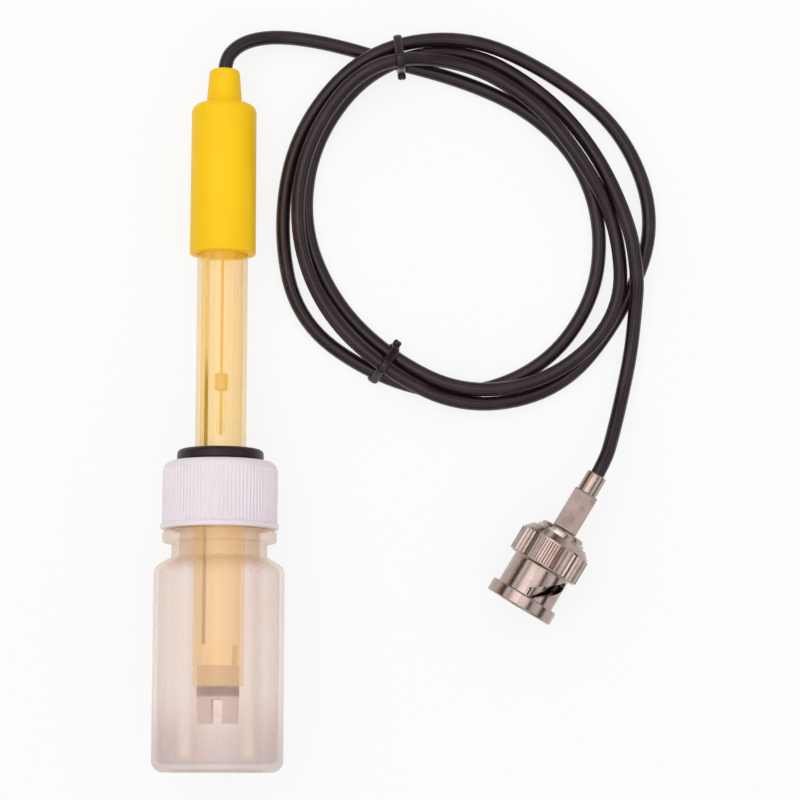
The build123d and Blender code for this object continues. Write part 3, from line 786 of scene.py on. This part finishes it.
    @staticmethod
    def weights(count: int, samples: int) -> np.ndarray:
        """What each control point adds to each point of a clamped uniform spline of second degree.

        Args:
            count: How many control points.
            samples: How many points of the curve.

        Returns:
            The weights, samples by count.
        """
        knots = np.concatenate(((0, 0), np.arange(count - 1), (count - 2, count - 2))).astype(float)
        just_inside = 1e-6
        at = np.linspace(0.0, count - 2 - just_inside, samples)[:, None]
        basis = ((knots[:-1] <= at) & (at < knots[1:])).astype(float)
        for degree in range(1, CoiledCable.order):
            size = len(knots) - degree - 1
            low, high = knots[:size], knots[degree + 1:]
            rise = knots[degree:degree + size] - low
            fall = high - knots[1:1 + size]
            upward = (at - low) / np.where(rise > 0, rise, 1.0) * basis[:, :-1]
            basis = upward + (high - at) / np.where(fall > 0, fall, 1.0) * basis[:, 1:]
        return basis

    def centreline(self) -> np.ndarray:
        """Points of the curve itself, samples by three."""
        return self.weights(len(self.laid), self.line_samples) @ self.laid

    def build(self, finish: Finish) -> bpy.types.Object:
        """Makes the cable as one spline.

        Args:
            finish: The jacket.

        Returns:
            The cable.
        """
        points = self.laid
        curve = bpy.data.curves.new("cable", "CURVE")
        curve.dimensions = "3D"
        curve.bevel_depth = self.diameter / 2
        curve.bevel_resolution = self.steps_round
        curve.resolution_u = self.steps_along
        curve.use_fill_caps = True
        spline = curve.splines.new("NURBS")
        spline.points.add(len(points) - 1)
        spline.points.foreach_set("co", np.c_[points, np.ones(len(points))].ravel())
        spline.order_u = self.order
        spline.use_endpoint_u = True
        cable = bpy.data.objects.new("cable", curve)
        bpy.context.scene.collection.objects.link(cable)
        finish.dress(cable)
        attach(cable, "electrode")
        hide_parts("cable_lead_in", "cable_coil", "cable_lead_out")
        run = np.linalg.norm(np.diff(self.centreline(), axis=0), axis=1).sum()
        log.info("cable: %d points, %.4f m", len(points), run)
        return cable

    def declare(self) -> None:
        """Works out the point where the cable leaves the nose, and keeps nothing.
        """
        self.electrode.at(self.nose_end)


@dataclass
class TwistTie:
    """A coated wire tie drawn tight round the strands, with its two ends twisted together.

    In the plane across the coil the band is the outline of a string pulled round the strands: in each
    direction it lies on the strand that reaches furthest that way, and it is pressed up by the table. It sits
    a little askew where it has a bow, which pushes its top along the coil and its underside back by as much.
    A squareness of 1 makes the band's section an oval. The slant only sets where a wire's section begins.
    """

    name: str
    node: str
    clock_angle: float
    lean: float
    cable: CoiledCable
    twist_angle: float
    twist_length: float = 0.6 * MM
    width: float = 1.7 * MM
    thickness: float = 0.75 * MM
    squareness: float = 0.8
    bow: float = 0.0
    wire: float = 0.85 * MM
    twists: float = 1.2
    slant: float = 0.3
    reach: float = 32.2 * MM
    loop_points: int = 160
    band_points_round: int = 16
    end_points: int = 48
    end_points_round: int = 12

    def directions(self) -> Tuple[np.ndarray, np.ndarray, np.ndarray]:
        """The middle of the strands at the tie, the way out across them, and the way along them."""
        angle, outward = math.radians(self.clock_angle), math.radians(self.clock_angle + self.lean)
        radial = np.array((math.sin(angle), math.cos(angle), 0.0))
        middle = np.array((*self.cable.centre, 0.0)) * MM + self.reach * radial
        out = np.array((math.sin(outward), math.cos(outward), 0.0))
        return middle, out, np.array((-out[1], out[0], 0.0))

    def strands(self) -> np.ndarray:
        """Where the cable crosses the tie's plane near the tie, as (out, up)."""
        middle, out, along = self.directions()
        line = self.cable.centreline() - middle
        side = line @ along
        crossing = (side[:-1] * side[1:] <= 0) & (np.abs(line[:-1] @ out) < self.reach / 2)
        part = side[:-1] / np.where(side[:-1] == side[1:], 1.0, side[:-1] - side[1:])
        place = line[:-1] + part[:, None] * np.diff(line, axis=0)
        return np.stack((place @ out, place[:, 2]), axis=-1)[crossing]

    def build(self, finish: Finish) -> List[bpy.types.Object]:
        """Makes the band and its twisted ends.

        Args:
            finish: The coating.

        Returns:
            The band and the twist.
        """
        middle, out, along = self.directions()
        strands = self.strands()
        turn = np.arange(self.loop_points) * 2 * np.pi / self.loop_points
        normal = np.stack((np.cos(turn), np.sin(turn)), axis=-1)
        furthest = strands[np.argmax(normal @ strands.T, axis=1)]
        loop = furthest + normal * (self.cable.diameter / 2 + self.thickness / 2)
        loop[:, 1] = np.maximum(loop[:, 1], self.thickness / 2)
        path = middle + loop[:, :1] * out + loop[:, 1:] * UP + self.bow * normal[:, 1:] * along
        outward = normal[:, :1] * out + normal[:, 1:] * UP
        section = round_section(self.thickness, self.width, self.band_points_round, self.squareness)
        grid = swept(path, outward, np.broadcast_to(along, path.shape), section)
        band = grid_piece(self.name, grid, True, True)
        place = int(round(self.twist_angle / 360.0 * self.loop_points))
        ends = self._twisted_ends(path[place], outward[place], along)
        for piece in (band, *ends):
            finish.dress(piece)
            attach(piece, "electrode")
        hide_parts(self.node)
        log.info("%s: round %d strands", self.name, len(strands))
        return [band, *ends]

    def _twisted_ends(self, foot: np.ndarray, ahead: np.ndarray, along: np.ndarray) -> List[bpy.types.Object]:
        """The two ends, wound round each other: each runs out while it circles their common middle.

        Args:
            foot: The point of the band that they leave from.
            ahead: The way out from the band there.
            along: The way along the strands.

        Returns:
            The two ends.
        """
        beside = np.cross(ahead, along)
        aside = np.cross(beside, ahead)
        share = np.linspace(0.0, 1.0, self.end_points)
        middle = foot + ahead * (self.wire / 2 + share * self.twist_length)[:, None]
        section = round_section(self.wire, self.wire, self.end_points_round)
        ends = []
        for number, phase in enumerate((0.0, np.pi)):
            angle = 2 * np.pi * self.twists * share + phase
            circle = np.cos(angle)[:, None] * aside + np.sin(angle)[:, None] * beside
            line = middle + self.wire / 2 * circle
            tangent = np.gradient(line, axis=0)
            tangent /= np.linalg.norm(tangent, axis=1)[:, None]
            first = np.cross(tangent, ahead + self.slant * aside)
            first /= np.linalg.norm(first, axis=1)[:, None]
            grid = swept(line, first, np.cross(tangent, first), section)
            ends.append(grid_piece(f"{self.name}_end_{number + 1}", grid, False, True))
        return ends


@dataclass(frozen=True)
class Lamp:
    """A soft square lamp.

    One without shadow lights the insides of clear pieces too and shows in no reflection.
    """

    name: str
    place: Triple
    size: float
    power: float
    shadow: bool

    def hang(self, aim: Triple) -> None:
        """Adds the lamp.

        Args:
            aim: The point that it faces.
        """
        data = bpy.data.lights.new(self.name, "AREA")
        data.shape = "SQUARE"
        data.size = self.size
        data.energy = self.power
        data.use_shadow = self.shadow
        lamp = bpy.data.objects.new(self.name, data)
        lamp.visible_glossy = self.shadow
        turn = (Vector(self.place) - Vector(aim)).to_track_quat("Z", "Y").to_matrix().to_4x4()
        lamp.matrix_world = Matrix.Translation(self.place) @ turn
        bpy.context.scene.collection.objects.link(lamp)


@dataclass(frozen=True)
class DarkCard:
    """A dark card that only reflections show: a strip of the sky between two places from left to right."""

    begins: float
    ends: float
    soft: float
    darkness: float

    def dimming(self, side: Value) -> Value:
        """1 beside the card and less on it."""
        return 1 - self.darkness * side.band(self.begins, self.ends, self.soft)


@dataclass
class Studio:
    """White table, soft light from above and the camera that looks down on the part."""

    aim: Triple = (35.0 * MM, 3.77 * MM, 5.0 * MM)
    distance: float = 0.5463
    elevation: float = 86.5
    roll: float = 0.15
    lens: float = 124.4
    sensor: float = 36.0
    nearest: float = 0.01
    floor_size: float = 6.0
    floor_drop: float = 0.05 * MM
    floor_points: int = 9
    floor_colour: Colour = (0.86, 0.86, 0.86)
    floor_white: Colour = (1.0, 1.0, 1.0)
    floor_glow: float = 0.8
    sky_colour: Colour = (1.0, 0.99, 0.985)
    sky_level: float = 0.32
    gleam: float = 1.8
    gleam_stops: Tuple[Range, ...] = (
        (0.0, 0.95), (0.08, 0.10), (0.34, 0.05), (0.46, 0.72), (0.8, 0.5), (0.93, 0.55), (1.0, 1.0),
    )
    right_card: DarkCard = DarkCard(begins=0.3, ends=0.46, soft=0.05, darkness=0.85)
    left_card: DarkCard = DarkCard(begins=-0.62, ends=-0.5, soft=0.04, darkness=0.7)
    key: Lamp = Lamp("key_lamp", (-0.35, 0.25, 0.9), size=0.55, power=1.0, shadow=True)
    fill: Lamp = Lamp("fill_lamp", (0.1, 0.0, 1.0), size=4.0, power=39.0, shadow=False)
    clear_layers: int = 40

    def camera(self) -> None:
        """Makes the camera."""
        lift = math.radians(self.elevation)
        back = Vector((0.0, -math.cos(lift), math.sin(lift)))
        data = bpy.data.cameras.new("camera")
        data.sensor_width = self.sensor
        data.lens = self.lens
        data.clip_start = self.nearest
        camera = bpy.data.objects.new("camera", data)
        turn = (-back).to_track_quat("-Z", "Y").to_matrix().to_4x4()
        spin = Matrix.Rotation(math.radians(self.roll), 4, "Z")
        camera.matrix_world = Matrix.Translation(Vector(self.aim) + back * self.distance) @ turn @ spin
        bpy.context.scene.collection.objects.link(camera)
        bpy.context.scene.camera = camera

    def floor(self) -> None:
        """Makes the table top, which shows as white but keeps shadows."""
        half = self.floor_size / 2
        span = np.linspace(-half, half, self.floor_points)
        x, y = np.meshgrid(span, span)
        grid = np.stack((x, y, np.full_like(x, -self.floor_drop)), axis=-1)
        floor = grid_piece("table_top", grid, False, False)
        material = bpy.data.materials.new("table_white")
        graph = Graph(material)
        path = graph.node("ShaderNodeLightPath", {}, {})
        seen = [Value(graph, path.outputs[name]) for name in
                ("Is Camera Ray", "Is Glossy Ray", "Is Transmission Ray")]
        share = self.floor_glow * graph.math("MINIMUM", seen[0] + seen[1] + seen[2], 1.0)
        plain = graph.node("ShaderNodeBsdfDiffuse", {}, {"Color": self.floor_colour})
        glow = graph.node("ShaderNodeEmission", {}, {"Color": self.floor_white, "Strength": 1.0})
        both = graph.node("ShaderNodeMixShader", {}, {0: share, 1: plain.outputs[0], 2: glow.outputs[0]})
        graph.node("ShaderNodeOutputMaterial", {}, {"Surface": both.outputs[0]})
        floor.data.materials.append(material)

    def sky(self) -> None:
        """Makes an even sky for the light, which reflections see with dark cards and a dark edge."""
        world = bpy.data.worlds.new("studio")
        bpy.context.scene.world = world
        graph = Graph(world)
        path = graph.node("ShaderNodeLightPath", {}, {})
        glossy = Value(graph, path.outputs["Is Glossy Ray"])
        camera = Value(graph, path.outputs["Is Camera Ray"])
        direction = graph.node("ShaderNodeTexCoord", {}, {}).outputs["Generated"]
        side, _, height = graph.parts(direction)
        cards = self.right_card.dimming(side) * self.left_card.dimming(side)
        ramp = graph.node("ShaderNodeValToRGB", {"stops": self.gleam_stops}, {"Fac": height})
        shown = Value(graph, graph.node("ShaderNodeRGBToBW", {}, {0: ramp.outputs[0]}).outputs[0])
        even = camera + (1 - camera) * self.sky_level
        level = self.gleam * glossy * cards * shown + (1 - glossy) * even
        back = graph.node("ShaderNodeBackground", {}, {"Color": self.sky_colour, "Strength": level})
        graph.node("ShaderNodeOutputWorld", {}, {"Surface": back.outputs[0]})

    def build(self) -> None:
        """Sets up camera, table, sky and lamps, and lets rays pass all the walls of nested clear pieces."""
        bpy.context.scene.view_settings.view_transform = "Standard"
        bpy.context.scene.cycles.transparent_max_bounces = self.clear_layers
        self.camera()
        self.floor()
        self.sky()
        self.key.hang(self.aim)
        self.fill.hang(self.aim)


@dataclass
class Electrode:
    """The electrode: yellow cap, clear shaft, its inner pieces and the guard at its tip."""

    axis: Axis
    guard_top: float = -43.55 * MM
    guard_band: float = 2.0 * MM
    below_tip: float = -87.1 * MM
    coated_to: float = 19.0 * MM
    coating_fade: float = 5 * MM
    yellow: Finish = MouldedPlastic("yellow", linear(253, 203, 14), linear(248, 195, 10), Gloss.SATIN,
                                    depth_of_light=0.12, shine=0.2)
    shaft: Finish = ClearWall("amber_wall", linear(251, 206, 44), density=0.23, edge_density=0.8)
    stem: Finish = ClearWall("stem_glass", linear(255, 234, 196), density=0.03, edge_density=0.32)
    sleeve: Finish = ClearWall("clear_sleeve", linear(236, 208, 150), density=0.05, edge_density=0.35)
    rubbery: Finish = ClearWall("clear_bung", linear(255, 218, 130), density=0.08, edge_density=0.2,
                                gloss=Gloss.SATIN)
    chalk: Finish = MouldedPlastic("porous_white", linear(236, 232, 226), linear(222, 216, 208), Gloss.MATT)
    compound: Finish = MouldedPlastic("compound", linear(226, 190, 96), linear(210, 170, 74))
    silver: Finish = MouldedPlastic("coated_silver", linear(246, 206, 146), linear(238, 194, 130), Gloss.MATT)

    def build(self) -> None:
        """Dresses every piece of the electrode."""
        nodes = frame["nodes"]
        self.yellow.dress(nodes["electrode_cap"])
        self.shaft.dress(nodes["body_tube"])
        self.stem.dress(nodes["glass_stem"])
        self.sleeve.dress(nodes["element_sleeve"])
        guard = BandedPlastic("grey_guard", linear(226, 208, 200), linear(128, 110, 114), self.axis,
                              self.guard_top - self.guard_band, self.guard_top)
        guard.dress(nodes["bulb_guard"])
        self.rubbery.dress(nodes["lower_seal"], nodes["stem_stopper"], nodes["stem_cork"])
        self.chalk.dress(nodes["junction_plug"])
        self.compound.dress(nodes["potting_plug"])
        self.silver.dress(nodes["inner_element"])
        wire = BandedPlastic("half_coated_wire", linear(255, 238, 190), linear(118, 76, 30), self.axis,
                             self.below_tip, self.coated_to, self.coating_fade)
        wire.dress(nodes["reference_wire"])
        log.info("electrode dressed")


@dataclass
class StorageBottle:
    """The milky bottle with its screw cap and the rubber ring on top of it."""

    axis: Axis
    base_at: float = -60.05 * MM
    shoulder_at: float = -21.6 * MM
    thread_start: float = -10.3 * MM
    cap_thread_start: float = -11.8 * MM
    finish_radius: float = 8.9 * MM
    cap_bore: float = 9.65 * MM
    white: Finish = MouldedPlastic("white_cap", linear(233, 224, 229), linear(226, 215, 221), coat=0.1,
                                   depth_of_light=0.5)
    rubber: Finish = Jacket("ring_rubber", linear(22, 13, 13), linear(36, 26, 26))

    def build(self) -> None:
        """Dresses bottle, cap and ring and adds the two threads."""
        nodes = frame["nodes"]
        milky = MilkyWall("milky_wall", linear(226, 194, 178), linear(212, 190, 186), linear(242, 222, 211),
                          linear(224, 192, 156), self.axis, self.base_at, self.shoulder_at)
        milky.dress(nodes["storage_bottle"])
        self.white.dress(nodes["bottle_cap"])
        self.rubber.dress(nodes["seal_ring"])
        outer = HelicalThread("bottle_thread", self.axis, self.finish_radius, self.thread_start)
        outer.build("bottle", milky)
        inner = HelicalThread("cap_thread", self.axis, self.cap_bore, self.cap_thread_start)
        inner.build("cap", self.white)
        log.info("bottle and cap dressed")


@dataclass
class BayonetPlug:
    """The plug at the cable's end."""

    axis: Axis
    nickel: Finish = Plate("nickel", linear(174, 155, 148), linear(126, 107, 100))
    steel: Finish = Plate("spring_steel", linear(190, 186, 182), linear(160, 154, 150), Gloss.GLOSSY)
    gilt: Finish = Plate("gilt", linear(226, 186, 104), linear(196, 152, 76))
    white: Finish = MouldedPlastic("insulator_white", linear(240, 237, 230), linear(228, 224, 216))
    rubber: Finish = Jacket("gasket_rubber", linear(44, 40, 42), linear(58, 52, 54))
    pieces: Tuple[str, ...] = (
        "crimp_ferrule", "plug_body", "coupling_nut", "thrust_washer", "spring_washer", "retaining_ring",
        "centre_pin", "pin_insulator", "plug_gasket",
    )

    def build(self) -> List[bpy.types.Object]:
        """Dresses the plug.

        Returns:
            Its pieces.
        """
        nodes = frame["nodes"]
        self.nickel.dress(nodes["crimp_ferrule"], nodes["plug_body"], nodes["coupling_nut"])
        self.steel.dress(nodes["thrust_washer"], nodes["spring_washer"], nodes["retaining_ring"])
        self.gilt.dress(nodes["centre_pin"])
        self.white.dress(nodes["pin_insulator"])
        self.rubber.dress(nodes["plug_gasket"])
        self.flatten(nodes["spring_washer"])
        log.info("plug dressed")
        return [nodes[name] for name in self.pieces]

    def flatten(self, spring: bpy.types.Object) -> None:
        """Gives the spring washer a mesh of its own; how far the nut's slide would press it is worked out but
        not used.

        Args:
            spring: The spring washer.
        """
        places = np.empty(len(spring.data.vertices) * 3)
        spring.data.vertices.foreach_get("co", places)
        along = (places.reshape(-1, 3) - self.axis.origin) @ self.axis.along
        joint = next(item for item in frame["joints"] if item["name"] == "nut_slide")
        keep = 1 - joint["range_m"][1] / float(np.ptp(along))
        self.axis.at(float(along.max()))
        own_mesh(spring)


def main() -> None:
    """Builds every sub-assembly in order."""
    logging.basicConfig(level=logging.INFO, format="%(name)s: %(message)s")
    electrode_axis = Axis.from_joint("cap_turn")
    plug_axis = Axis.from_joint("nut_turn")
    Studio().build()
    jacket = Jacket("cable_jacket", linear(30, 18, 22), linear(46, 33, 38), Gloss.GLOSSY)
    coating = Jacket("tie_coating", linear(31, 20, 23), linear(46, 35, 38), Gloss.GLOSSY)
    cord = CoiledCable(electrode_axis, plug_axis)
    cable = cord.build(jacket)
    upper = TwistTie("upper_tie", "tie_upper", 337.0, lean=16.0, cable=cord, twist_angle=190.0)
    lower = TwistTie("lower_tie", "tie_lower", 210.0, lean=4.0, cable=cord, twist_angle=178.0, bow=0.7 * MM)
    ties = upper.build(coating) + lower.build(coating)
    Electrode(electrode_axis).build()
    StorageBottle(electrode_axis).build()
    plug_pieces = BayonetPlug(plug_axis).build()
    cord.declare()


if __name__ == "__main__":
    main()
